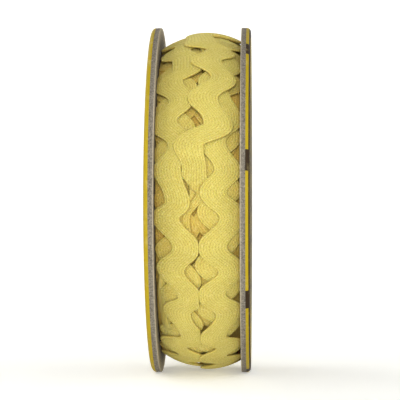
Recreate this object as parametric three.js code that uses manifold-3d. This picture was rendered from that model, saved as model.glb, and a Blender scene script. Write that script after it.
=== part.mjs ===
// A small card reel of ric rac trim, standing upright on its two rims.
// Millimetres, +Z up. The reel's axis runs along X, its front faces -Y,
// and the origin is on the surface it stands on, under the middle of the reel.
import * as THREE from 'three';
import { mergeVertices } from 'three/addons/utils/BufferGeometryUtils.js';
import Module from 'manifold-3d';

// The two card flanges
const flangeRadius = 50;
const flangeThickness = 2.7;
const flangeSpacing = 23.1; // clear width between their inner faces
const flangeSides = 96;
const cutEdgeBevel = 0.35; // raw card edge, on the inside
const printedEdgeRadius = 1.2; // printed paper rolled over the edge, on the outside
const printedEdgeSteps = 4;
const flatSpotHalf = 4; // each rim is pressed flat this far either side of its lowest point

// The ric rac
const wavesPerTurn = 23;
const waveAmplitude = 2.2; // of the middle line, to each side
const bendHalfWidth = 3.35; // across the band, at a bend
const slantHalfWidth = 2.95; // across the band, between two bends
const fan = 0.5; // how far a cross line turns from the reel's axis towards square across the band
const outerFan = 0.75; // the same on the outside of a bend of the loose end
const foldLimit = 0.85; // cross lines may close up this far on the inside of a bend
const bandThickness = 1.1;

// The winding: two columns of waves side by side, mirrored, inner bends meeting at the middle
const woundRadius = 48.2; // highest point of the left column
const rightColumnRise = 0.1; // how much higher the right column's last turn starts
const crownCentre = 1.5; // the crown is highest a little right of the middle
const crownFall = 0.027; // mm of fall for each mm squared away from there
const columnOffset = 5.45;
const grooveDepth = 1.6; // between the waves, down to the turns below
const grooveHalf = 0.25; // least half width of the groove along the middle
const edgeSlope = 0.3; // a band's edge leans this far as it drops into the groove
const rowsPerWave = 10;
const clearance = 0.3; // between separate pieces
const weldDistance = 1e-4; // corners nearer than this are one

// The end of the trim: it leaves the right column at the front, crosses to the left and tucks in.
// One row for each bend: degrees above the front, place along the axis, half width across the band
// and height over the wound surface.
const endBends = [
  { degrees: 39.5, along: 7.6, half: 3.3, height: 0.55 },
  { degrees: 33.8, along: 1.4, half: 4.1, height: 0.55 },
  { degrees: 24.2, along: 5.7, half: 4.0, height: 0.55 },
  { degrees: 17.8, along: -2.2, half: 4.0, height: 0.55 },
  { degrees: 10.4, along: -0.5, half: 3.4, height: 0.55 },
  { degrees: 4.6, along: -0.3, half: 1.0, height: -0.95 },
];
const endStart = 37.2; // degrees above the front, where the end leaves the winding
const endRowStep = 1.1; // degrees
const lastTurnEnd = 40.2; // degrees above the front, where the winding's own last turn stops
const endAcross = [-1, -0.5, 0, 0.5, 1];

const degree = Math.PI / 180;
const axisHeight = Math.sqrt(flangeRadius ** 2 - flatSpotHalf ** 2);
const windingHalf = flangeSpacing / 2 - clearance;
const waveLength = 2 * Math.PI * woundRadius / wavesPerTurn;

const wasm = await Module();
wasm.setup();

function toSolid(geometry) {
  const bare = geometry.clone();
  bare.deleteAttribute('normal');
  bare.deleteAttribute('uv');
  const merged = mergeVertices(bare, weldDistance);
  return new wasm.Manifold(new wasm.Mesh({
    numProp: 3,
    vertProperties: new Float32Array(merged.attributes.position.array),
    triVerts: new Uint32Array(merged.index.array),
  }));
}

function toGeometry(solid) {
  const mesh = solid.getMesh();
  return indexedGeometry(Array.from(mesh.vertProperties), Array.from(mesh.triVerts));
}

function indexedGeometry(positions, index) {
  const geometry = new THREE.BufferGeometry();
  geometry.setAttribute('position', new THREE.Float32BufferAttribute(positions, 3));
  geometry.setIndex(index);
  geometry.computeVertexNormals();
  return geometry;
}

// A point on or near the winding, from its place along the axis, the degrees that it lies above
// the front, and its distance from the axis.
function reelPoint(along, degrees, radius) {
  return new THREE.Vector3(
    along,
    -radius * Math.cos(degrees * degree),
    axisHeight + radius * Math.sin(degrees * degree),
  );
}

function crownRadius(along, peak) {
  return peak - crownFall * (along - crownCentre) ** 2;
}

// Where a cross line of the band meets the edge at side -1 or +1, or any place between, for a
// middle line at `along` that leans by `slope` mm along the axis for each mm round the reel.
function bandPlace({ along, slope, half }, degrees, side, turn = fan) {
  const reach = half * Math.hypot(1, slope) / (1 + turn * slope * slope);
  const shift = turn * slope * side * reach;
  return { along: along + side * reach, degrees: degrees - shift / (woundRadius * degree) };
}

// The wave of one column at an angle: side is -1 for the left column and +1 for the right one.
function columnBand(side, degrees) {
  const phase = wavesPerTurn * degrees * degree;
  const along = side * (columnOffset - waveAmplitude * Math.cos(phase));
  const slope = side * waveAmplitude * Math.sin(phase) * 2 * Math.PI / waveLength;
  const half = slantHalfWidth + (bendHalfWidth - slantHalfWidth) * Math.cos(phase) ** 2;
  return { along, slope, half };
}

// The profile of the winding across the reel, in the row that starts at an angle. The right
// column rises by one thickness over its last turn.
function windingRow(degrees, turned) {
  const peaks = { left: woundRadius, right: woundRadius + rightColumnRise + bandThickness * turned };
  const row = [reelPoint(-windingHalf, degrees, crownRadius(-windingHalf, peaks.left) - grooveDepth)];
  for (const [side, peak] of [[-1, peaks.left], [1, peaks.right]]) {
    const band = columnBand(side, degrees);
    const edges = [-1, 1].map((edge) => bandPlace(band, degrees, edge));
    const middle = side * grooveHalf;
    const outer = side * (windingHalf - edgeSlope);
    const limits = [Math.min(middle, outer), Math.max(middle, outer)];
    const left = THREE.MathUtils.clamp(edges[0].along, ...limits);
    const right = THREE.MathUtils.clamp(edges[1].along, ...limits);
    const floor = peaks.left - grooveDepth;
    row.push(reelPoint(left, edges[0].degrees, crownRadius(left, floor)));
    row.push(reelPoint(left + edgeSlope, edges[0].degrees, crownRadius(left + edgeSlope, peak)));
    row.push(reelPoint((left + right) / 2, degrees, crownRadius((left + right) / 2, peak)));
    row.push(reelPoint(right - edgeSlope, edges[1].degrees, crownRadius(right - edgeSlope, peak)));
    row.push(reelPoint(right, edges[1].degrees, crownRadius(right, floor)));
  }
  row.push(reelPoint(windingHalf, degrees, crownRadius(windingHalf, peaks.left) - grooveDepth));
  return row;
}

function windingGeometry() {
  const rowCount = wavesPerTurn * rowsPerWave;
  const positions = [];
  for (let i = 0; i < rowCount; i += 1) {
    const turned = i / rowCount;
    for (const point of windingRow(lastTurnEnd - 360 * turned, turned)) positions.push(...point);
  }
  const rowLength = positions.length / 3 / rowCount;
  positions.push(-windingHalf, 0, axisHeight, windingHalf, 0, axisHeight);
  const leftPole = rowCount * rowLength;
  const rightPole = leftPole + 1;
  const index = [];
  for (let i = 0; i < rowCount; i += 1) {
    const here = i * rowLength;
    const next = ((i + 1) % rowCount) * rowLength;
    for (let j = 0; j < rowLength - 1; j += 1) {
      index.push(here + j, next + j, here + j + 1);
      index.push(here + j + 1, next + j, next + j + 1);
    }
    index.push(leftPole, next, here);
    index.push(rightPole, here + rowLength - 1, next + rowLength - 1);
  }
  return indexedGeometry(positions, index);
}

// The middle line of the loose end: an even swing from each bend to the next.
function endBand(degrees) {
  const after = Math.max(1, endBends.findIndex((bend) => bend.degrees <= degrees));
  const from = endBends[after - 1];
  const to = endBends[after];
  const share = (from.degrees - degrees) / (from.degrees - to.degrees);
  const swing = (1 - Math.cos(Math.PI * share)) / 2;
  const half = THREE.MathUtils.lerp(from.half, to.half, swing);
  const rise = from.along - to.along;
  const perArc = Math.PI / ((from.degrees - to.degrees) * woundRadius * degree);
  const bendCurvature = Math.abs(rise) / 2 * perArc ** 2;
  return {
    along: THREE.MathUtils.lerp(from.along, to.along, swing),
    slope: rise / 2 * perArc * Math.sin(Math.PI * share),
    half,
    height: THREE.MathUtils.lerp(from.height, to.height, swing),
    lean: Math.sign(rise),
    swing,
    innerFan: Math.min(fan, foldLimit / (half * bendCurvature)),
  };
}

// The loose end's cross lines turn less on the inside of the nearer bend, so that they never cross.
function endFan({ lean, swing, innerFan }, side) {
  const inside = side * lean < 0 ? 1 - swing : swing;
  return THREE.MathUtils.lerp(outerFan, innerFan, inside);
}

function endGeometry() {
  const lastBend = endBends[endBends.length - 1].degrees;
  const rowCount = Math.ceil((endStart - lastBend) / endRowStep) + 1;
  const width = endAcross.length;
  const positions = [];
  for (let i = 0; i < rowCount; i += 1) {
    const degrees = THREE.MathUtils.lerp(endStart, lastBend, i / (rowCount - 1));
    const band = endBand(degrees);
    for (const layer of [band.height + bandThickness, band.height]) {
      for (const side of endAcross) {
        const place = bandPlace(band, degrees, side, endFan(band, side));
        const radius = crownRadius(place.along, woundRadius + layer);
        positions.push(...reelPoint(place.along, place.degrees, radius));
      }
    }
  }
  const index = [];
  const quad = (a, b, c, d) => index.push(a, b, c, a, c, d);
  for (let i = 0; i < rowCount - 1; i += 1) {
    const top = i * 2 * width;
    const nextTop = top + 2 * width;
    for (let j = 0; j < width - 1; j += 1) {
      quad(top + j, nextTop + j, nextTop + j + 1, top + j + 1);
      quad(top + width + j + 1, nextTop + width + j + 1, nextTop + width + j, top + width + j);
    }
    quad(top + width, nextTop + width, nextTop, top);
    quad(top + width - 1, nextTop + width - 1, nextTop + 2 * width - 1, top + 2 * width - 1);
  }
  const last = (rowCount - 1) * 2 * width;
  for (let j = 0; j < width - 1; j += 1) {
    quad(j + 1, j + 1 + width, j + width, j);
    quad(last + j, last + j + width, last + j + 1 + width, last + j + 1);
  }
  return indexedGeometry(positions, index);
}

// A card disc, printed side out, with its lowest point pressed flat.
function flangeGeometry() {
  const profile = [
    new THREE.Vector2(0, 0),
    new THREE.Vector2(flangeRadius - cutEdgeBevel, 0),
    new THREE.Vector2(flangeRadius, cutEdgeBevel),
  ];
  for (let i = 0; i <= printedEdgeSteps; i += 1) {
    const turn = i / printedEdgeSteps * Math.PI / 2;
    profile.push(new THREE.Vector2(
      flangeRadius - printedEdgeRadius * (1 - Math.cos(turn)),
      flangeThickness - printedEdgeRadius * (1 - Math.sin(turn)),
    ));
  }
  profile.push(new THREE.Vector2(0, flangeThickness));
  const disc = new THREE.LatheGeometry(profile, flangeSides);
  disc.rotateZ(-Math.PI / 2);
  const keep = new THREE.BoxGeometry(4 * flangeThickness, 4 * flangeRadius, 4 * flangeRadius);
  keep.translate(0, 0, 2 * flangeRadius - axisHeight);
  return toGeometry(toSolid(disc).intersect(toSolid(keep)));
}

const card = new THREE.MeshStandardMaterial({ color: 0xc8b43a, roughness: 0.6, metalness: 0 });
const trim = new THREE.MeshStandardMaterial({ color: 0xdbcb73, roughness: 0.9, metalness: 0 });

function named(name, geometry, material) {
  const mesh = new THREE.Mesh(geometry, material.clone());
  mesh.name = name;
  return mesh;
}

const reel = new THREE.Group();
const flangeRight = named('flange_right', flangeGeometry(), card);
flangeRight.position.set(flangeSpacing / 2, 0, axisHeight);
const flangeLeft = named('flange_left', flangeGeometry(), card);
flangeLeft.position.set(-flangeSpacing / 2, 0, axisHeight);
flangeLeft.rotation.z = Math.PI;
reel.add(flangeLeft, flangeRight);
reel.add(named('trim_winding', windingGeometry(), trim));
reel.add(named('trim_end', endGeometry(), trim));

export default reel;
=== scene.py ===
import math
import random

import bmesh
import bpy
import numpy as np
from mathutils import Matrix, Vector, noise


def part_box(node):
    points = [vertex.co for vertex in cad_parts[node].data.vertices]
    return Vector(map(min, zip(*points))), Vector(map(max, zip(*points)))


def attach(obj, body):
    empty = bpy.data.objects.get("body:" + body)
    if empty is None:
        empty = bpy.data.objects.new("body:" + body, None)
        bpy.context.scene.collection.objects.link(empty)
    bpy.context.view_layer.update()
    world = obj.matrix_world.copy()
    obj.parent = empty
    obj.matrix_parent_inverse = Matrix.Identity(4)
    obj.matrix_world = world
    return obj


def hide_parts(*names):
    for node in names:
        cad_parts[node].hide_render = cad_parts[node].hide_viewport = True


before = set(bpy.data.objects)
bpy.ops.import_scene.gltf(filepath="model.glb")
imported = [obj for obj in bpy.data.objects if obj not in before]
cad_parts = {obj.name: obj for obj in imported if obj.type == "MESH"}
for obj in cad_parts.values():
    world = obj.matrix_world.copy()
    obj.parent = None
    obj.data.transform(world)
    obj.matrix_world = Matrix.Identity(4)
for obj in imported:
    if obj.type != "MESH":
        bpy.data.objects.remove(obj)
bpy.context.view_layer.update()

# Lengths in the dictionaries below are in millimetres, as a maker would measure them.
mm = 0.001
rightLow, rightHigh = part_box("flange_right")

reel = {
    "radius": (rightHigh.y - rightLow.y) / 2 / mm,
    "axisHeight": (rightHigh.z - (rightHigh.y - rightLow.y) / 2) / mm,
    "innerFace": rightLow.x / mm,  # from the middle of the reel to a disc's inside
    "discThickness": (rightHigh.x - rightLow.x) / mm,
}
print("reel", {name: round(value, 3) for name, value in reel.items()})


def linearColour(hexCode):
    # sRGB as a maker's colour card gives it, turned to the linear values that shaders take
    channels = [int(hexCode[i:i + 2], 16) / 255 for i in (1, 3, 5)]
    return [c / 12.92 if c <= 0.04045 else ((c + 0.055) / 1.055) ** 2.4 for c in channels] + [1.0]


def newMaterial(name):
    material = bpy.data.materials.new(name)
    material.use_nodes = True
    material.node_tree.nodes.clear()
    return material


def addNode(material, kind, settings=None, links=None):
    # settings are the node's own properties, or its inputs by name or number; links feed inputs
    node = material.node_tree.nodes.new(kind)
    for name, value in (settings or {}).items():
        if isinstance(name, str) and hasattr(node, name):
            setattr(node, name, value)
        else:
            node.inputs[name].default_value = value
    for name, source in (links or {}).items():
        material.node_tree.links.new(source, node.inputs[name])
    return node


def finishMaterial(material, shader):
    addNode(material, "ShaderNodeOutputMaterial", {}, {"Surface": shader.outputs[0]})
    return material


# Camera, where the photographer stood: a long lens level with the reel's axis
camera = {
    "place": (18.0, -560.0, 49.84),
    "lookAt": (-0.66, 0.0, 49.84),
    "lens": 172.7,
    "sensor": 36.0,
}
cameraData = bpy.data.cameras.new("studioCamera")
cameraData.lens = camera["lens"]
cameraData.sensor_width = camera["sensor"]
cameraObject = bpy.data.objects.new("studioCamera", cameraData)
bpy.context.scene.collection.objects.link(cameraObject)
cameraObject.location = Vector(camera["place"]) * mm
aim = Vector(camera["lookAt"]) - Vector(camera["place"])
cameraObject.rotation_euler = aim.to_track_quat("-Z", "Y").to_euler()
bpy.context.scene.camera = cameraObject
bpy.context.scene.view_settings.view_transform = "Standard"


# The ric rac: one trim, wound in two mirrored columns of waves
ricRac = {
    "wave": 14.7,  # from one bend to the next on the same side
    "amplitude": 2.4,  # of the middle line
    "bendHalf": 3.85,  # half the width at a bend, straight across the reel
    "slantHalf": 3.0,  # and between two bends, square across the band
    "thickness": 0.95,
    "ribs": 10,  # lengthwise ribs of plaited thread
    "ribDepth": 0.11,
    "ribRound": 0.6,  # the lower, the fuller the ribs
    "camber": 0.10,  # the edges lie this much lower than the middle
    "edgeRound": 14,  # the higher, the squarer the edges
    "innerTurn": 0.16,  # how far cross lines turn with the band, inside a bend
    "outerTurn": 0.22,  # and outside it
    "foldLimit": 0.85,  # cross lines never cross each other inside a tight bend
    "tiltStep": 0.01,  # share of the half width over which the cloth's tilt is taken
}
winding = {
    "radius": 48.2,  # top of the left column
    "crownCentre": 1.2,
    "crownFall": 0.024,
    "columnOffset": 5.8,
    "middle": 0.3,  # between the columns
    "sag": 0.3,  # the whole winding lies this much low between the discs
    "turnRise": 1.0,  # each turn lies this much higher than the one below
    "dropLength": 125,  # degrees within which a turn comes down to the one below
    "squeezed": 12.05,  # outer lobes that would reach further are squeezed by a disc
    "squeezeSoft": 0.1,
    "contact": 0.45,  # where the inner lobes of both columns press together
    "contactGap": -0.09,  # below zero, they bite into each other
    "contactSoft": 0.15,
    "pressed": (-60, 8),  # degrees between which they do
    "pressedFade": 6,  # and over which that begins and ends
    "rightTop": 0.8,  # how high the right column lies over the left one
    "rightDropStart": 250,
    "runsOn": 43,  # degrees that the last right turn goes on beneath its own loose end
    "lowerLeftTop": -1.02,
    "lowerLeftDropStart": 510,
    "tuckDegrees": -4, "tuckSpread": 14, "tuckDepth": 1.35,  # the hollow that the tucked end lies in
    "strayDegrees": 0.8, "strayAlong": 0.4,  # how unlike each other the waves are
    "topStray": 0.4, "lowerStray": 0.7,  # and how much of that the turns on top and beneath have
    "lowerEvened": 0.5,  # beneath, the front's bends lie this much nearer to even ones
    "seed": 11,
}
# Painted shade: how far the cloth is tinted towards a deeper yellow where it lies away from the light
paintedShade = {
    "below": 0.7, "belowOver": 1.6, "belowTint": 0.3,  # mm under the top turn
    "beside": 10.2, "besideOver": 1.3, "besideTint": 0.2,  # mm from the middle, towards a disc
    "rim": 0.93, "rimOver": 0.07, "rimTint": 0.12,  # share of the half width
}

# The last turn of the right column from its tucked end upwards. Degrees are above the front,
# along is the place of the band's middle line, and height is over the left column.
looseEnd = [
    {"degrees": -14.0, "along": -4.4, "half": 3.2, "height": -1.45},
    {"degrees": -6.5, "along": -5.4, "half": 3.6, "height": -1.4},
    {"degrees": 3.5, "along": -0.9, "half": 4.1, "height": -1.2},
    {"degrees": 10.4, "along": -0.7, "half": 3.5, "height": 0.1},
    {"degrees": 17.7, "along": -2.3, "half": 4.3, "height": 1.1},
    {"degrees": 25.0, "along": 5.8, "half": 4.2, "height": 1.12},
    {"degrees": 35.0, "along": 1.4, "half": 4.35, "height": 1.12},
    {"degrees": 44.0, "along": 7.0, "half": 3.6, "height": 1.05},
    {"degrees": 53.3, "along": 2.0, "half": 4.5, "height": 1.0},
    {"degrees": 60.0, "along": 6.0, "half": 4.2, "height": 0.95},
    {"degrees": 67.0, "along": 0.5, "half": 5.2, "height": 0.95},
    {"degrees": 77.0, "along": -0.6, "half": 4.0, "height": 0.9},
]
# The bends of each column that show at the front, from an inner one to an inner one
leftFront = [
    {"degrees": -85.0, "along": -3.8, "half": 4.4},
    {"degrees": -77.0, "along": -7.6, "half": 4.1},
    {"degrees": -69.0, "along": -2.0, "half": 4.2},
    {"degrees": -61.0, "along": -7.4, "half": 4.0},
    {"degrees": -53.3, "along": -1.6, "half": 3.7},
    {"degrees": -40.8, "along": -5.9, "half": 4.0},
    {"degrees": -34.3, "along": -1.9, "half": 3.7},
    {"degrees": -24.1, "along": -7.4, "half": 4.0},
    {"degrees": -15.8, "along": -2.9, "half": 4.0},
    {"degrees": -6.0, "along": -8.6, "half": 4.0},
    {"degrees": -0.8, "along": -5.3, "half": 3.6},
    {"degrees": 10.8, "along": -8.2, "half": 4.0},
    {"degrees": 18.5, "along": -4.4, "half": 3.7},
    {"degrees": 27.8, "along": -9.4, "half": 3.9},
    {"degrees": 35.4, "along": -4.4, "half": 3.8},
    {"degrees": 44.8, "along": -8.3, "half": 4.1},
    {"degrees": 50.5, "along": -3.3, "half": 4.4},
    {"degrees": 57.0, "along": -3.5, "half": 4.3},
    {"degrees": 63.5, "along": -6.8, "half": 4.4},
    {"degrees": 70.5, "along": -3.0, "half": 4.4},
]
rightFront = [
    {"degrees": -83.0, "along": 3.8, "half": 4.3},
    {"degrees": -74.5, "along": 8.2, "half": 4.0},
    {"degrees": -67.0, "along": 3.7, "half": 4.0},
    {"degrees": -59.5, "along": 8.4, "half": 3.9},
    {"degrees": -52.7, "along": 3.9, "half": 4.0},
    {"degrees": -41.0, "along": 8.7, "half": 3.9},
    {"degrees": -32.7, "along": 3.8, "half": 4.1},
    {"degrees": -24.4, "along": 9.5, "half": 3.8},
    {"degrees": -15.6, "along": 4.2, "half": 4.2},
    {"degrees": -5.9, "along": 9.9, "half": 3.85},
    {"degrees": 2.6, "along": 4.5, "half": 3.85},
    {"degrees": 9.9, "along": 8.4, "half": 3.8},
    {"degrees": 19.6, "along": 4.0, "half": 4.0},
    {"degrees": 28.5, "along": 8.6, "half": 3.85},
    {"degrees": 43.5, "along": 4.0, "half": 4.2},
]
# The turns under each column: how many degrees and millimetres their waves lie aside of those
# on top
rightLaps = [
    {"lap": 2, "shift": -6.5, "aside": -0.4},
    {"lap": 3, "shift": -9.5, "aside": -1.6},
]
leftLaps = [
    {"lap": 1, "shift": 6.0, "aside": 0.0},
    {"lap": 2, "shift": -2.0, "aside": 0.0},
]
underLeftStart = {"degrees": 280, "along": -3.8, "half": 3.85, "height": -1.02}
jitter = random.Random(winding["seed"])


def steppedHeight(degrees, top, dropStart):
    # a turn keeps its height, then comes down to the next one over a stretch from dropStart
    laps, share = divmod((degrees - dropStart) / 360, 1)
    share = min(1, share * 360 / winding["dropLength"])
    return top - winding["turnRise"] * (laps + share * share * (3 - 2 * share))


def rightHeight(degrees):
    return steppedHeight(degrees, winding["rightTop"], winding["rightDropStart"])


def lowerLeftHeight(degrees):
    # the turns under the left column also make room for the tucked end at the front
    fromEnd = (degrees - winding["tuckDegrees"] + 180) % 360 - 180
    hollow = winding["tuckDepth"] * math.exp(-(fromEnd / winding["tuckSpread"]) ** 2)
    return steppedHeight(degrees, winding["lowerLeftTop"], winding["lowerLeftDropStart"]) - hollow


def evenAlong(side, isInner):
    swing = -ricRac["amplitude"] if isInner else ricRac["amplitude"]
    return winding["middle"] + side * (winding["columnOffset"] + swing)


def addFront(bends, table, side, shift, heightAt, evened=0, aside=0):
    # a turn's bends at the front; lower turns lie a little shifted and evened out
    for row in table:
        even = evenAlong(side, abs(row["along"]) < winding["columnOffset"])
        place = row["degrees"] + shift
        stray = jitter.gauss(0, winding["strayAlong"] * evened)
        along = row["along"] + (even - row["along"]) * evened + aside + stray
        bends.append({"degrees": place, "along": along, "half": row["half"],
                      "height": heightAt(place)})


def fillWaves(bends, side, last, heightAt, unevenness):
    # even waves from the latest inner bend up to the next table's inner bend at last
    start = bends[-1]["degrees"]
    pitch = math.degrees(ricRac["wave"] / winding["radius"])
    swings = 2 * max(1, round((last - start) / pitch))
    for step in range(1, swings):
        stray = jitter.gauss(0, winding["strayDegrees"] * unevenness)
        place = start + (last - start) * step / swings + stray
        stray = jitter.gauss(0, winding["strayAlong"] * unevenness)
        along = evenAlong(side, step % 2 == 0) + stray
        bends.append({"degrees": place, "along": along, "half": ricRac["bendHalf"],
                      "height": heightAt(place)})


def leftRing():
    bends = []
    addFront(bends, leftFront, -1, 0, lambda degrees: 0.0)
    first = bends[0]
    fillWaves(bends, -1, first["degrees"] + 360, lambda degrees: 0.0, winding["topStray"])
    bends.append({**first, "degrees": first["degrees"] + 360})
    return bends


def rightTurn():
    # the last turn, then on beneath its own loose end
    bends = [dict(bend) for bend in looseEnd]
    fillWaves(bends, 1, rightFront[0]["degrees"] + 360, rightHeight, winding["topStray"])
    addFront(bends, rightFront, 1, 360, rightHeight)
    end = bends[-1]["degrees"] + winding["runsOn"]
    fillWaves(bends, 1, end, rightHeight, winding["topStray"])
    bends.pop()
    return bends


def lowerTurns(bends, side, front, laps, heightAt):
    # turns under the ones on top, each with its waves a little out of step with the last
    for row in laps:
        shift = row["shift"] + 360 * row["lap"]
        fillWaves(bends, side, front[0]["degrees"] + shift, heightAt, winding["lowerStray"])
        addFront(bends, front, side, shift, heightAt, winding["lowerEvened"], row["aside"])
    return bends


def crossLines(bends, rowsPerSwing):
    # An even swing from each bend to the next gives one row for each cross line of the band.
    rows = []
    for near, far in zip(bends, bends[1:]):
        radius = winding["radius"] + (near["height"] + far["height"]) / 2
        arc = math.radians(far["degrees"] - near["degrees"]) * radius
        rise = far["along"] - near["along"]
        perArc = math.pi / arc
        steepest = abs(rise) / 2 * perArc
        half = (near["half"] + far["half"]) / 2
        sharpest = half * steepest * perArc + 1e-6  # never quite zero
        innerTurn = min(ricRac["innerTurn"], ricRac["foldLimit"] / sharpest)
        meanTurn = (innerTurn + ricRac["outerTurn"]) / 2
        slanted = ricRac["slantHalf"] * math.hypot(1, steepest) / (1 + meanTurn * steepest ** 2)
        waist = (half - slanted) * min(1, abs(rise) / ricRac["amplitude"] / 2)
        for step in range(rowsPerSwing):
            share = step / rowsPerSwing
            swing = (1 - math.cos(math.pi * share)) / 2
            narrowed = waist * math.sin(math.pi * share) ** 2
            turns = []
            for edge in (-1, 1):
                inside = 1 - swing if edge * rise > 0 else swing
                turns.append(ricRac["outerTurn"] + (innerTurn - ricRac["outerTurn"]) * inside)
            rows.append((
                near["degrees"] + (far["degrees"] - near["degrees"]) * share,
                near["along"] + rise * swing,
                steepest * math.copysign(math.sin(math.pi * share), rise),
                near["half"] + (far["half"] - near["half"]) * swing - narrowed,
                near["height"] + (far["height"] - near["height"]) * swing,
                turns[0],
                turns[1],
            ))
    return [np.array(column)[:, None] for column in zip(*rows)]


def softlyOver(amount, soft):
    # zero below zero and the amount above it, rounded where one meets the other
    return soft * np.log1p(np.exp(np.clip(amount, -5, 5) / soft))


def pressTogether(x, along, reach, across, degrees, side):
    # level inner lobes flatten against each other along the line where the columns meet
    line = winding["contact"] + side * winding["contactGap"]
    over = softlyOver(side * (line - along) + reach, winding["contactSoft"])
    wrapped = (degrees + 180) % 360 - 180
    low, high = winding["pressed"]
    begins = np.clip((wrapped - low) / winding["pressedFade"], 0, 1)
    ends = np.clip((high - wrapped) / winding["pressedFade"], 0, 1)
    return x + side * over * (begins * ends) * np.clip(-side * across, 0, 1) ** 2


def squeezeAtDisc(x, along, reach, across, side):
    over = softlyOver(side * along + reach - winding["squeezed"], winding["squeezeSoft"])
    return x - side * over * np.clip(side * across, 0, 1) ** 2


def clothFace(rows, across, side, pressed):
    # place across the reel, angle and radius of the band's smooth upper face
    degrees, along, slope, reach, height, leftTurn, rightTurn = rows
    turn = np.where(across < 0, leftTurn, rightTurn)
    x = along + across * reach
    angle = np.radians(degrees) - turn * slope * across * reach / (winding["radius"] + height)
    if pressed:
        x = pressTogether(x, along, reach, across, degrees, side)
    x = squeezeAtDisc(x, along, reach, across, side)
    crown = winding["crownFall"] * (x - winding["crownCentre"]) ** 2
    radius = winding["radius"] + height - crown - ricRac["camber"] * across ** 2
    return x, angle, radius - winding["sag"] * np.sin(angle)


def bandSection(pointsPerRib, bottomPoints):
    # Across the band: place from -1 to 1, relief of the ribs, and whether it is the underside
    steps = ricRac["ribs"] * pointsPerRib
    rib = np.arange(steps + 1) / pointsPerRib
    across = rib / ricRac["ribs"] * 2 - 1
    relief = -(1 - np.abs(np.sin(np.pi * rib)) ** ricRac["ribRound"])
    bottom = np.linspace(1, -1, bottomPoints + 2)[1:-1]
    return (
        np.concatenate([across, bottom])[None, :],
        np.concatenate([relief, np.zeros(bottomPoints)])[None, :],
        np.concatenate([np.zeros(steps + 1), np.ones(bottomPoints)])[None, :],
    )


def shadedBy(rows, across, side, pressed):
    # painted shade: how far the cloth lies away from the light, under other turns, beside a disc or at
    # a band's edge
    height = rows[4]
    fromMiddle = np.abs(clothFace(rows, across, side, pressed)[0])
    below = np.clip((-height - paintedShade["below"]) / paintedShade["belowOver"], 0, 1)
    beside = np.clip((fromMiddle - paintedShade["beside"]) / paintedShade["besideOver"], 0, 1)
    rim = np.clip((np.abs(across) - paintedShade["rim"]) / paintedShade["rimOver"], 0, 1)
    return below * paintedShade["belowTint"] + beside * paintedShade["besideTint"] + rim * paintedShade["rimTint"]


def bandPoints(rows, side, pressed, section):
    across, relief, under = section
    x, angle, radius = clothFace(rows, across, side, pressed)
    near = ricRac["tiltStep"]
    before, after = (clothFace(rows, across + step, side, pressed) for step in (-near, near))
    runX, runRadius = after[0] - before[0], after[2] - before[2]
    run = np.hypot(runX, runRadius) + 1e-9
    edge = ricRac["thickness"] / 2 * (1 - np.sqrt(1 - np.abs(across) ** ricRac["edgeRound"]))
    rib = ricRac["ribDepth"] * relief * (1 - np.abs(across) ** (2 * ricRac["edgeRound"]))
    out = np.where(under > 0, edge - ricRac["thickness"], rib - edge)
    x = x - out * runRadius / run
    radius = radius + out * runX / run
    return np.stack([
        x,
        -radius * np.cos(angle),
        reel["axisHeight"] + radius * np.sin(angle),
    ], axis=-1) * mm


def bandMesh(name, points, ribOf, travelled, closed):
    # travelled has one more entry than there are rows, for the last face of a closed band
    rowCount, width, _ = points.shape
    faces, corners = [], []
    for i in range(rowCount if closed else rowCount - 1):
        n = (i + 1) % rowCount
        for j in range(width):
            k = (j + 1) % width
            faces.append((i * width + j, i * width + k, n * width + k, n * width + j))
            corners += [(ribOf[j], travelled[i]), (ribOf[k], travelled[i]),
                        (ribOf[k], travelled[i + 1]), (ribOf[j], travelled[i + 1])]
    if not closed:
        for row, order in ((0, -1), (rowCount - 1, 1)):
            ring = [row * width + j for j in range(width)][::order]
            faces.append(ring)
            corners += [(ribOf[index % width], travelled[row]) for index in ring]
    mesh = bpy.data.meshes.new(name)
    mesh.from_pydata(points.reshape(-1, 3).tolist(), [], faces)
    layer = mesh.uv_layers.new(name="bandRibs")
    layer.data.foreach_set("uv", np.array(corners, np.float32).ravel())
    mesh.polygons.foreach_set("use_smooth", [True] * len(mesh.polygons))
    return mesh


def makeBand(name, bends, side, pressed, closed, detail, material):
    rowsPerSwing, pointsPerRib, bottomPoints = detail
    rows = crossLines(bends, rowsPerSwing)
    section = bandSection(pointsPerRib, bottomPoints)
    points = bandPoints(rows, side, pressed, section)
    degrees, _, slope, reach, height = (column[:, 0] for column in rows[:5])
    arcs = np.gradient(np.radians(degrees)) * (winding["radius"] + height)
    travelled = np.concatenate([[0], np.cumsum(arcs * np.hypot(1, slope))])
    ribOf = (section[0][0] + 1) / 2 * ricRac["ribs"]
    mesh = bandMesh(name, points, ribOf, travelled, closed)
    shaded = mesh.attributes.new("shaded", "FLOAT", "POINT")
    tint = shadedBy(rows, section[0], side, pressed)
    shaded.data.foreach_set("value", tint.astype(np.float32).ravel())
    mesh.materials.append(material)
    band = bpy.data.objects.new(name, mesh)
    bpy.context.scene.collection.objects.link(band)
    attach(band, "root")
    print(name, "faces", len(mesh.polygons), "flat length", round(float(arcs.sum()), 1), "mm")
    return band
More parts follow.
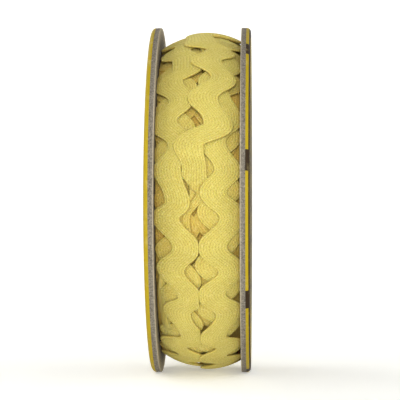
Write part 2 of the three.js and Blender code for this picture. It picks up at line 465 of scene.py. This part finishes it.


# Woven cotton ric rac, plaited on a narrow loom: the eye sees soft matt ribs that follow the
# waves, each a row of slanting stitches; painted shade darkens the grooves and the dips between
# stitches, painted glints make stitches catch the light one by one, and a warmer, deeper yellow is
# painted shade where the cloth lies under other turns, beside a disc or at a band's edge.
threads = {
    # deep is the colour of the painted shade on the cloth
    "pale": "#DACE82", "yellow": "#C6B860", "groove": "#98853B", "deep": "#C58B24",
    "stitch": 0.85,  # mm along the rib; drawn a little coarser than the thread, so that it shows
    "slant": 0.9,  # stitches that a rib's one side runs ahead of its other
    "stitchDepth": 0.08,  # mm
    "stitchShade": 0.25, "grooveShade": 0.36,
    "grooveFrom": 0.2, "grooveTo": 0.5,  # share of a rib's width from its crown
    "patches": 7.0,  # mm, slow changes of colour along the trim
    "patchFrom": 0.35, "patchTo": 0.65, "patchPaler": -0.08, "patchDarker": 0.12,
    "speckle": 0.9,  # of a stitch
    # painted glints: the palest stitches are painted pale as if they catch the light
    "glintFrom": 0.52, "glintTo": 0.75, "glint": 0.6,  # pale stitches among the others
    "fibre": 0.25,  # mm
    "fibreDepth": 0.35,  # of a stitch's depth
    "roughness": 0.88, "specular": 0.25,
    "lightInside": 0.3, "insideDepth": 1.5, "insideColours": (1.0, 0.6, 0.15),  # depth in mm
    "sheen": 0.1, "sheenRoughness": 0.5, "sheenTint": "#FFE9A6",
}


def wovenCotton():
    m = newMaterial("woven cotton ric rac")
    uv = addNode(m, "ShaderNodeUVMap", {"uv_map": "bandRibs"})
    ribs = addNode(m, "ShaderNodeSeparateXYZ", {}, {0: uv.outputs[0]})
    inRib = addNode(m, "ShaderNodeMath", {"operation": "FRACT"}, {0: ribs.outputs["X"]})
    fromCrown = addNode(m, "ShaderNodeMath", {"operation": "SUBTRACT", 1: 0.5}, {0: inRib.outputs[0]})
    whichRib = addNode(m, "ShaderNodeMath", {"operation": "FLOOR"}, {0: ribs.outputs["X"]})
    oddRib = addNode(m, "ShaderNodeMath", {"operation": "PINGPONG", 1: 1.0}, {0: whichRib.outputs[0]})
    lean = addNode(m, "ShaderNodeMath",
                   {"operation": "MULTIPLY_ADD", 1: 2 * threads["slant"], 2: -threads["slant"]},
                   {0: oddRib.outputs[0]})
    ahead = addNode(m, "ShaderNodeMath", {"operation": "MULTIPLY"},
                    {0: lean.outputs[0], 1: fromCrown.outputs[0]})
    stitchPhase = addNode(m, "ShaderNodeMath", {"operation": "MULTIPLY_ADD", 1: 1 / threads["stitch"]},
                          {0: ribs.outputs["Y"], 2: ahead.outputs[0]})
    turned = addNode(m, "ShaderNodeMath", {"operation": "MULTIPLY", 1: 2 * math.pi},
                     {0: stitchPhase.outputs[0]})
    wave = addNode(m, "ShaderNodeMath", {"operation": "SINE"}, {0: turned.outputs[0]})
    stitch = addNode(m, "ShaderNodeMath", {"operation": "MULTIPLY_ADD", 1: 0.5, 2: 0.5},
                     {0: wave.outputs[0]})
    toGroove = addNode(m, "ShaderNodeMath", {"operation": "ABSOLUTE"}, {0: fromCrown.outputs[0]})
    groove = addNode(m, "ShaderNodeMapRange",
                     {"interpolation_type": "SMOOTHSTEP", 1: threads["grooveFrom"],
                      2: threads["grooveTo"], 3: 0.0, 4: 1.0},
                     {0: toGroove.outputs[0]})

    # each stitch a little paler or darker than the next
    stitchPlace = addNode(m, "ShaderNodeCombineXYZ", {},
                          {"X": ribs.outputs["X"], "Y": stitchPhase.outputs[0]})
    speckle = addNode(m, "ShaderNodeTexNoise",
                      {"Scale": threads["speckle"], "Detail": 2.0, "Roughness": 0.7},
                      {"Vector": stitchPlace.outputs[0]})
    coords = addNode(m, "ShaderNodeTexCoord")
    patches = addNode(m, "ShaderNodeTexNoise", {"Scale": 1 / (threads["patches"] * mm), "Detail": 2.0},
                      {"Vector": coords.outputs["Object"]})
    fibres = addNode(m, "ShaderNodeTexNoise", {"Scale": 1 / (threads["fibre"] * mm), "Detail": 3.0},
                     {"Vector": coords.outputs["Object"]})

    # painted shade: the dips between stitches and the grooves between ribs are painted darker
    dip = addNode(m, "ShaderNodeMath", {"operation": "SUBTRACT", 0: 1.0}, {1: stitch.outputs[0]})
    dipShade = addNode(m, "ShaderNodeMath", {"operation": "MULTIPLY", 1: threads["stitchShade"]},
                       {0: dip.outputs[0]})
    grooveShade = addNode(m, "ShaderNodeMath", {"operation": "MULTIPLY_ADD", 1: threads["grooveShade"]},
                          {0: groove.outputs[0], 2: dipShade.outputs[0]})
    patchShade = addNode(m, "ShaderNodeMapRange",
                         {1: threads["patchFrom"], 2: threads["patchTo"],
                          3: threads["patchPaler"], 4: threads["patchDarker"]},
                         {0: patches.outputs["Fac"]})
    shade = addNode(m, "ShaderNodeMath", {"operation": "ADD", "use_clamp": True},
                    {0: grooveShade.outputs[0], 1: patchShade.outputs[0]})
    body = addNode(m, "ShaderNodeMix", {"data_type": "RGBA", 6: linearColour(threads["yellow"]),
                                        7: linearColour(threads["groove"])}, {0: shade.outputs[0]})
    # painted highlight: the palest stitches are mixed towards the pale colour
    glint = addNode(m, "ShaderNodeMapRange",
                    {1: threads["glintFrom"], 2: threads["glintTo"], 3: 0.0, 4: threads["glint"]},
                    {0: speckle.outputs["Fac"]})
    stitched = addNode(m, "ShaderNodeMix", {"data_type": "RGBA", 7: linearColour(threads["pale"])},
                       {0: glint.outputs[0], 6: body.outputs[2]})
    # painted shade: the shaded attribute tints the cloth towards the deep yellow
    shaded = addNode(m, "ShaderNodeAttribute", {"attribute_name": "shaded"})
    colour = addNode(m, "ShaderNodeMix", {"data_type": "RGBA", 7: linearColour(threads["deep"])},
                     {0: shaded.outputs["Fac"], 6: stitched.outputs[2]})
    relief = addNode(m, "ShaderNodeMath", {"operation": "MULTIPLY_ADD", 1: threads["fibreDepth"]},
                     {0: fibres.outputs["Fac"], 2: stitch.outputs[0]})
    bump = addNode(m, "ShaderNodeBump", {"Strength": 1.0, "Distance": threads["stitchDepth"] * mm},
                   {"Height": relief.outputs[0]})
    shader = addNode(m, "ShaderNodeBsdfPrincipled", {
        "Roughness": threads["roughness"], "IOR": 1.5, "Specular IOR Level": threads["specular"],
        "Subsurface Weight": threads["lightInside"],
        "Subsurface Scale": threads["insideDepth"] * mm,
        "Subsurface Radius": threads["insideColours"],
        "Sheen Weight": threads["sheen"], "Sheen Roughness": threads["sheenRoughness"],
        "Sheen Tint": linearColour(threads["sheenTint"]),
    }, {"Base Color": colour.outputs[2], "Normal": bump.outputs[0]})
    return finishMaterial(m, shader)


cotton = wovenCotton()
# rows for each swing, points for each rib, points beneath
onTop, lower = (12, 5, 9), (9, 4, 5)
rightBends = rightTurn()
makeBand("underRight", lowerTurns([rightBends[-1]], 1, rightFront, rightLaps, rightHeight),
         1, False, False, lower, cotton)
makeBand("underLeft", lowerTurns([underLeftStart], -1, leftFront, leftLaps, lowerLeftHeight),
         -1, False, False, lower, cotton)
trimRight = makeBand("trimRight", rightBends, 1, True, False, onTop, cotton)
makeBand("trimLeft", leftRing(), -1, True, True, onTop, cotton)
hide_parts("trim_winding", "trim_end")
print("bands made")

# The turns deeper still, of which only glimpses show: one drum with the trim's ribs on it, its colour
# given a painted shade all over
innerTurns = {
    "radius": 44.7, "half": 11.45, "crownFall": 0.02, "ribWidth": 0.75, "ridgeHeight": 0.15,
    "lump": 0.2, "lumpSize": 2.5, "segments": 240, "shaded": 0.45, "stepsPerRib": 4,
}


def makeInnerTurns():
    mesh = bpy.data.meshes.new("innerTurns")
    work = bmesh.new()
    perRib, segments = innerTurns["stepsPerRib"], innerTurns["segments"]
    ribs = round(2 * innerTurns["half"] / innerTurns["ribWidth"])
    uv = work.loops.layers.uv.new("bandRibs")
    rings = []
    for i in range(ribs * perRib + 1):
        x = innerTurns["half"] * (2 * i / (ribs * perRib) - 1)
        ridge = innerTurns["ridgeHeight"] * abs(math.sin(math.pi * i / perRib))
        crown = innerTurns["crownFall"] * (x - winding["crownCentre"]) ** 2
        even = innerTurns["radius"] + ridge - crown
        ring = []
        for k in range(segments):
            angle = 2 * math.pi * k / segments
            onDrum = Vector((x, math.cos(angle) * even, math.sin(angle) * even))
            radius = even + innerTurns["lump"] * noise.noise(onDrum / innerTurns["lumpSize"])
            ring.append(work.verts.new(Vector((x, -radius * math.cos(angle),
                                               reel["axisHeight"] + radius * math.sin(angle))) * mm))
        rings.append(ring)
    arc = 2 * math.pi * innerTurns["radius"] / segments
    for i, (one, other) in enumerate(zip(rings, rings[1:])):
        for k in range(segments):
            n = (k + 1) % segments
            face = work.faces.new((one[k], one[n], other[n], other[k]))
            face.smooth = True
            corners = ((i, k), (i, k + 1), (i + 1, k + 1), (i + 1, k))
            for loop, (across, turned) in zip(face.loops, corners):
                loop[uv].uv = (across / perRib, turned * arc)
    for ring in (rings[0], rings[-1]):
        work.faces.new(ring)
    bmesh.ops.recalc_face_normals(work, faces=work.faces)
    work.to_mesh(mesh)
    work.free()
    shaded = mesh.attributes.new("shaded", "FLOAT", "POINT")
    shaded.data.foreach_set("value", [innerTurns["shaded"]] * len(mesh.vertices))
    mesh.materials.append(cotton)
    drum = bpy.data.objects.new("innerTurns", mesh)
    bpy.context.scene.collection.objects.link(drum)
    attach(drum, "root")


makeInnerTurns()


# Grey chipboard, die-cut: the eye sees a dull grey-brown edge with pale and dark flecks of
# recycled fibre, and a paler inner corner that is partly wear and partly a painted highlight; the same
# pale colour is painted as light onto the inner face near the rim.
board = {
    "grey": "#6F685D", "fleckDark": "#454139", "fleckPale": "#968D7D", "wornAndLitCorner": "#B4A88F",
    "fleck": 0.5,  # mm
    "darkBelow": 0.3, "greyAt": 0.5, "paleAbove": 0.72,  # of the flecks' noise
    "cornerLightAndWear": 1.5,
    "fleckDepth": 0.12,  # mm
    "bump": 0.6, "roughness": 0.92, "specular": 0.2,
}


def greyChipboard():
    m = newMaterial("grey chipboard")
    coords = addNode(m, "ShaderNodeTexCoord")
    flecks = addNode(m, "ShaderNodeTexNoise",
                     {"Scale": 1 / (board["fleck"] * mm), "Detail": 4.0, "Roughness": 0.7},
                     {"Vector": coords.outputs["Object"]})
    tone = addNode(m, "ShaderNodeValToRGB", {}, {0: flecks.outputs["Fac"]})
    ramp = tone.color_ramp
    dark, pale = ramp.elements
    dark.position, dark.color = board["darkBelow"], linearColour(board["fleckDark"])
    pale.position, pale.color = board["paleAbove"], linearColour(board["fleckPale"])
    ramp.elements.new(board["greyAt"]).color = linearColour(board["grey"])
    # painted highlight and wear: this attribute makes the inner corner and the inner face near the rim
    # paler
    wornAndLit = addNode(m, "ShaderNodeAttribute", {"attribute_name": "wornAndLitCorner"})
    cornerLightAndWear = addNode(m, "ShaderNodeMath", {"operation": "MULTIPLY", "use_clamp": True},
                   {0: wornAndLit.outputs["Fac"], 1: flecks.outputs["Fac"]})
    cornerLightAndWearMore = addNode(m, "ShaderNodeMath",
                       {"operation": "MULTIPLY", 1: board["cornerLightAndWear"], "use_clamp": True},
                       {0: cornerLightAndWear.outputs[0]})
    colour = addNode(m, "ShaderNodeMix", {"data_type": "RGBA", 7: linearColour(board["wornAndLitCorner"])},
                     {0: cornerLightAndWearMore.outputs[0], 6: tone.outputs[0]})
    bump = addNode(m, "ShaderNodeBump",
                   {"Strength": board["bump"], "Distance": board["fleckDepth"] * mm},
                   {"Height": flecks.outputs["Fac"]})
    shader = addNode(m, "ShaderNodeBsdfPrincipled",
                     {"Roughness": board["roughness"], "IOR": 1.5,
                      "Specular IOR Level": board["specular"]},
                     {"Base Color": colour.outputs[2], "Normal": bump.outputs[0]})
    return finishMaterial(m, shader)


# Coated paper, offset printed and glued over the board: the eye sees even, slightly shiny ink,
# yellow with dark brown figures, rubbed where the rim is handled.
printed = {
    "yellow": "#A8931E", "yellowDeep": "#9C8419", "brown": "#33271A", "rubbed": "#C2B176",
    # what is printed from the middle outwards, each up to its radius in mm
    "zones": [
        {"to": 9.0, "brown": 1}, {"to": 10.0, "brown": 0}, {"to": 33.0, "brown": 1},
        {"to": 34.2, "brown": 0}, {"to": 37.0, "brown": 1}, {"to": 50.0, "brown": 0},
    ],
    "dotRing": 21.5, "dotRadius": 2.6, "dots": 12,
    "waveRadius": 41.6, "waveSwing": 1.7, "waveHalf": 0.75, "waves": 36,
    "blocks": 8, "blockShare": 0.15, "blockTurn": 0.35,
    "inkPatches": 3.0,  # mm
    "rub": 0.35, "rubFrom": 0.55, "rubTo": 0.7,
    "glossy": 0.5, "dull": 0.68, "specular": 0.08,
    "bump": 0.3, "inkDepth": 0.05,  # mm
}


def printedPaper():
    m = newMaterial("printed coated paper")
    coords = addNode(m, "ShaderNodeTexCoord")
    place = addNode(m, "ShaderNodeSeparateXYZ", {}, {0: coords.outputs["Object"]})
    up = addNode(m, "ShaderNodeMath", {"operation": "SUBTRACT", 1: reel["axisHeight"] * mm},
                 {0: place.outputs["Z"]})
    onFace = addNode(m, "ShaderNodeCombineXYZ", {}, {"X": place.outputs["Y"], "Y": up.outputs[0]})
    fromAxis = addNode(m, "ShaderNodeVectorMath", {"operation": "LENGTH"}, {0: onFace.outputs[0]})
    radius = addNode(m, "ShaderNodeMath", {"operation": "MULTIPLY", 1: 1 / mm},
                     {0: fromAxis.outputs["Value"]})
    angle = addNode(m, "ShaderNodeMath", {"operation": "ARCTAN2"},
                    {0: up.outputs[0], 1: place.outputs["Y"]})
    turn = addNode(m, "ShaderNodeMath", {"operation": "MULTIPLY_ADD", 1: 1 / (2 * math.pi), 2: 0.5},
                   {0: angle.outputs[0]})

    # rings and middle
    share = addNode(m, "ShaderNodeMath", {"operation": "DIVIDE", 1: printed["zones"][-1]["to"]},
                    {0: radius.outputs[0]})
    zones = addNode(m, "ShaderNodeValToRGB", {}, {0: share.outputs[0]})
    ramp = zones.color_ramp
    ramp.interpolation = "CONSTANT"
    ramp.elements.remove(ramp.elements[1])
    start = 0.0
    for zone in printed["zones"]:
        element = ramp.elements[0] if start == 0 else ramp.elements.new(start)
        element.color = [zone["brown"]] * 3 + [1]
        start = zone["to"] / printed["zones"][-1]["to"]

    # dots: the place within one of the equal sectors, then the distance to its middle
    dotStep = 2 * math.pi * printed["dotRing"] / printed["dots"]
    sector = addNode(m, "ShaderNodeMath", {"operation": "MULTIPLY", 1: printed["dots"]},
                     {0: turn.outputs[0]})
    inSector = addNode(m, "ShaderNodeMath", {"operation": "FRACT"}, {0: sector.outputs[0]})
    aside = addNode(m, "ShaderNodeMath", {"operation": "MULTIPLY_ADD", 1: dotStep, 2: -dotStep / 2},
                    {0: inSector.outputs[0]})
    outward = addNode(m, "ShaderNodeMath", {"operation": "SUBTRACT", 1: printed["dotRing"]},
                      {0: radius.outputs[0]})
    fromDot = addNode(m, "ShaderNodeCombineXYZ", {}, {"X": aside.outputs[0], "Y": outward.outputs[0]})
    far = addNode(m, "ShaderNodeVectorMath", {"operation": "LENGTH"}, {0: fromDot.outputs[0]})
    dot = addNode(m, "ShaderNodeMath", {"operation": "LESS_THAN", 1: printed["dotRadius"]},
                  {0: far.outputs["Value"]})
    dotted = addNode(m, "ShaderNodeMath", {"operation": "SUBTRACT"},
                     {0: zones.outputs[0], 1: dot.outputs[0]})

    # a waved line round the middle
    waveTurn = addNode(m, "ShaderNodeMath",
                       {"operation": "MULTIPLY", 1: 2 * math.pi * printed["waves"]},
                       {0: turn.outputs[0]})
    swing = addNode(m, "ShaderNodeMath", {"operation": "SINE"}, {0: waveTurn.outputs[0]})
    line = addNode(m, "ShaderNodeMath",
                   {"operation": "MULTIPLY_ADD", 1: printed["waveSwing"], 2: printed["waveRadius"]},
                   {0: swing.outputs[0]})
    waved = addNode(m, "ShaderNodeMath", {"operation": "COMPARE", 2: printed["waveHalf"]},
                    {0: radius.outputs[0], 1: line.outputs[0]})
    dottedAndWaved = addNode(m, "ShaderNodeMath", {"operation": "MAXIMUM"},
                             {0: dotted.outputs[0], 1: waved.outputs[0]})

    # blocks and a ring along the rim, where the disc says that they lie
    blockTurn = addNode(m, "ShaderNodeMath",
                        {"operation": "MULTIPLY_ADD", 1: printed["blocks"], 2: printed["blockTurn"]},
                        {0: turn.outputs[0]})
    inBlock = addNode(m, "ShaderNodeMath", {"operation": "FRACT"}, {0: blockTurn.outputs[0]})
    blockHere = addNode(m, "ShaderNodeMath", {"operation": "LESS_THAN", 1: printed["blockShare"]},
                        {0: inBlock.outputs[0]})
    blockRim = addNode(m, "ShaderNodeAttribute", {"attribute_name": "blockRim"})
    ringRim = addNode(m, "ShaderNodeAttribute", {"attribute_name": "ringRim"})
    block = addNode(m, "ShaderNodeMath", {"operation": "MULTIPLY"},
                    {0: blockHere.outputs[0], 1: blockRim.outputs["Fac"]})
    rim = addNode(m, "ShaderNodeMath", {"operation": "MAXIMUM"},
                  {0: block.outputs[0], 1: ringRim.outputs["Fac"]})
    rimEdge = addNode(m, "ShaderNodeMath", {"operation": "GREATER_THAN", 1: 0.5}, {0: rim.outputs[0]})
    brown = addNode(m, "ShaderNodeMath", {"operation": "MAXIMUM", "use_clamp": True},
                    {0: dottedAndWaved.outputs[0], 1: rimEdge.outputs[0]})

    patches = addNode(m, "ShaderNodeTexNoise",
                      {"Scale": 1 / (printed["inkPatches"] * mm), "Detail": 4.0},
                      {"Vector": coords.outputs["Object"]})
    yellow = addNode(m, "ShaderNodeMix", {"data_type": "RGBA", 6: linearColour(printed["yellow"]),
                                          7: linearColour(printed["yellowDeep"])},
                     {0: patches.outputs["Fac"]})
    ink = addNode(m, "ShaderNodeMix", {"data_type": "RGBA", 7: linearColour(printed["brown"])},
                  {0: brown.outputs[0], 6: yellow.outputs[2]})
    wornAndLit = addNode(m, "ShaderNodeAttribute", {"attribute_name": "wornAndLitCorner"})
    scuffs = addNode(m, "ShaderNodeMapRange",
                     {1: printed["rubFrom"], 2: printed["rubTo"], 3: 0.0, 4: printed["rub"]},
                     {0: patches.outputs["Fac"]})
    rub = addNode(m, "ShaderNodeMath", {"operation": "MULTIPLY"},
                  {0: wornAndLit.outputs["Fac"], 1: scuffs.outputs[0]})
    colour = addNode(m, "ShaderNodeMix", {"data_type": "RGBA", 7: linearColour(printed["rubbed"])},
                     {0: rub.outputs[0], 6: ink.outputs[2]})
    gloss = addNode(m, "ShaderNodeMapRange",
                    {1: 0.3, 2: 0.7, 3: printed["glossy"], 4: printed["dull"]},
                    {0: patches.outputs["Fac"]})
    bump = addNode(m, "ShaderNodeBump",
                   {"Strength": printed["bump"], "Distance": printed["inkDepth"] * mm},
                   {"Height": patches.outputs["Fac"]})
    shader = addNode(m, "ShaderNodeBsdfPrincipled",
                     {"IOR": 1.5, "Specular IOR Level": printed["specular"]},
                     {"Base Color": colour.outputs[2], "Roughness": gloss.outputs[0],
                      "Normal": bump.outputs[0]})
    return finishMaterial(m, shader)


disc = {
    "bevel": 0.12, "roll": 1.25, "segments": 288,
    "cutRelief": 0.07,  # mm, how rough the cut edge is
    "paper": 0.08,  # mm, the printed paper stands this proud of the cut edge
    "bevelSteps": 3, "edgeSteps": 8, "rollSteps": 12,
    "ringInside": 47.4, "blockInside": 46.2,  # mm, where the print on the rim begins
    "ringOnRoll": {-1: 0.95, 1: 0.5},  # the share of the rolled rim that the brown ring leaves yellow
    "blocksOnRoll": {-1: False, 1: True},
    "innerRows": (0.01, 12, 24, 34, 40, 44, 46, 47, 48, 49),
    "paintedLightFrom": 46.0,  # mm, from here outwards the inner face is painted paler towards the rim, painted light beside the trim
    "outerRows": (48, 47.5, 47.3, 46.3, 46.1, 42, 36, 24, 12, 0.01),
    # the pale corner, painted highlight and wear, runs onto the cut edge from this share
    "edgeLightAndWear": 0.35,
    "bevelRough": 0.5, "rollRough": 0.1,  # shares of the cut edge's roughness
    # the cut edge's relief: how far the noise runs across the board, round it and between discs
    "reliefAcross": 3, "reliefRound": 60, "reliefApart": 40,
    "fineRelief": 0.6, "fineScale": 3.1,
}
chipboard, paper = greyChipboard(), printedPaper()


def profileRow(radius, depth, rough=0.0, wornAndLit=0.0, ring=False, blocks=False, material=chipboard):
    return {"radius": radius, "depth": depth, "rough": rough, "wornAndLitCorner": wornAndLit,
            "ringRim": float(ring), "blockRim": float(blocks), "material": material}


def discProfile(side):
    # from the middle of the inner face over the cut edge and the rolled rim to the outer face
    full, deep = reel["radius"], reel["discThickness"]
    # the inner face is painted paler towards the rim: painted light
    paintedLightWidth = full - disc["paintedLightFrom"]
    rows = [profileRow(radius, 0.0, 0.0, max(0, radius - disc["paintedLightFrom"]) / paintedLightWidth)
            for radius in disc["innerRows"]]
    for i in range(disc["bevelSteps"] + 1):
        turn = i / disc["bevelSteps"] * math.pi / 2
        rows.append(profileRow(full - disc["bevel"] * (1 - math.sin(turn)),
                               disc["bevel"] * (1 - math.cos(turn)), disc["bevelRough"], 1.0))
    rolled = deep - disc["roll"]
    for i in range(1, disc["edgeSteps"] + 1):
        share = i / disc["edgeSteps"]
        rows.append(profileRow(full, disc["bevel"] + (rolled - disc["bevel"]) * share, 1.0,
                               disc["edgeLightAndWear"] * (1 - share) ** 4))
    for i in range(disc["rollSteps"] + 1):
        share = i / disc["rollSteps"]
        turn = share * math.pi / 2
        proud = disc["paper"] * min(1, i / 2)
        rows.append(profileRow(full - disc["roll"] * (1 - math.cos(turn)) + proud / 2,
                               rolled + disc["roll"] * math.sin(turn), disc["rollRough"], 1 - share,
                               share >= disc["ringOnRoll"][side], disc["blocksOnRoll"][side], paper))
    for radius in disc["outerRows"]:
        rows.append(profileRow(radius, deep, 0.0, 0.0, radius > disc["ringInside"],
                               radius > disc["blockInside"], paper))
    return rows


def makeDisc(side, node, name):
    profile = discProfile(side)
    work = bmesh.new()
    layers = {key: work.verts.layers.float.new(key) for key in ("wornAndLitCorner", "ringRim", "blockRim")}
    rings = []
    for row in profile:
        ring = []
        for k in range(disc["segments"]):
            angle = 2 * math.pi * k / disc["segments"]
            spot = Vector((row["depth"] * disc["reliefAcross"] + side * disc["reliefApart"],
                           math.cos(angle) * disc["reliefRound"],
                           math.sin(angle) * disc["reliefRound"]))
            relief = noise.noise(spot) + disc["fineRelief"] * noise.noise(spot * disc["fineScale"])
            r = row["radius"] + row["rough"] * disc["cutRelief"] * relief
            place = Vector((side * (reel["innerFace"] + row["depth"]), -r * math.cos(angle),
                            max(0, reel["axisHeight"] + r * math.sin(angle))))
            vert = work.verts.new(place * mm)
            for key, layer in layers.items():
                vert[layer] = row[key]
            ring.append(vert)
        rings.append(ring)
    for row, one, other in zip(profile, rings, rings[1:]):
        for k in range(disc["segments"]):
            n = (k + 1) % disc["segments"]
            face = work.faces.new((one[k], one[n], other[n], other[k]))
            face.material_index = int(row["material"] is paper)
            face.smooth = True
    for ring, index in ((rings[0], 0), (rings[-1], 1)):
        work.faces.new(ring).material_index = index
    bmesh.ops.recalc_face_normals(work, faces=work.faces)
    mesh = bpy.data.meshes.new(name)
    work.to_mesh(mesh)
    work.free()
    mesh.materials.append(chipboard)
    mesh.materials.append(paper)
    piece = bpy.data.objects.new(name, mesh)
    bpy.context.scene.collection.objects.link(piece)
    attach(piece, "root")
    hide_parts(node)


makeDisc(-1, "flange_left", "discLeft")
makeDisc(1, "flange_right", "discRight")
print("discs made")

# Studio: a pale round floor that sweeps up into a backdrop, a broad soft light from the front and
# a weaker one from behind
studio = {
    "paper": "#F4F4F2", "paperRoughness": 0.9, "paperSpecular": 0.1,
    "floorRadius": 1500, "sweep": 500, "height": 2600, "sweepSteps": 12,
    "segments": 96,
    "glow": 0.32,  # the table and backdrop are lit, so that hardly any shade lies under the reel
    "world": "#FFFFFF", "worldStrength": 0.22,
    "keyPlace": (20, -1300, 215), "keySize": 440, "keyPower": 11,
    "backPlace": (-900, 1050, 700), "backSize": 700, "backPower": 5,
}


def makeStudio():
    mesh = bpy.data.meshes.new("floorAndBackdrop")
    work = bmesh.new()
    line = [(1.0, 0.0), (studio["floorRadius"], 0.0)]
    for i in range(1, studio["sweepSteps"] + 1):
        turn = i / studio["sweepSteps"] * math.pi / 2
        line.append((studio["floorRadius"] + studio["sweep"] * math.sin(turn),
                     studio["sweep"] * (1 - math.cos(turn))))
    line.append((studio["floorRadius"] + studio["sweep"], studio["height"]))
    rings = []
    for radius, z in line:
        turns = [2 * math.pi * k / studio["segments"] for k in range(studio["segments"])]
        places = [Vector((radius * math.cos(turn), radius * math.sin(turn), z)) for turn in turns]
        rings.append([work.verts.new(place * mm) for place in places])
    work.faces.new(rings[0])
    for one, other in zip(rings, rings[1:]):
        for k in range(studio["segments"]):
            n = (k + 1) % studio["segments"]
            work.faces.new((one[k], one[n], other[n], other[k])).smooth = True
    work.to_mesh(mesh)
    work.free()
    m = newMaterial("studio paper")
    shader = addNode(m, "ShaderNodeBsdfPrincipled", {
        "Base Color": linearColour(studio["paper"]), "Roughness": studio["paperRoughness"],
        "Specular IOR Level": studio["paperSpecular"],
        "Emission Color": linearColour(studio["paper"]), "Emission Strength": studio["glow"],
    })
    mesh.materials.append(finishMaterial(m, shader))
    floor = bpy.data.objects.new("floorAndBackdrop", mesh)
    bpy.context.scene.collection.objects.link(floor)

    world = bpy.data.worlds.new("studioAir")
    bpy.context.scene.world = world
    world.use_nodes = True
    air = world.node_tree.nodes["Background"]
    air.inputs["Color"].default_value = linearColour(studio["world"])
    air.inputs["Strength"].default_value = studio["worldStrength"]

    for name in ("key", "back"):
        light = bpy.data.lights.new(name + "Light", "AREA")
        light.size = studio[name + "Size"] * mm
        light.energy = studio[name + "Power"]
        lamp = bpy.data.objects.new(name + "Light", light)
        bpy.context.scene.collection.objects.link(lamp)
        lamp.location = Vector(studio[name + "Place"]) * mm
        toReel = Vector((0, 0, reel["axisHeight"])) - Vector(studio[name + "Place"])
        lamp.rotation_euler = toReel.to_track_quat("-Z", "Y").to_euler()


makeStudio()
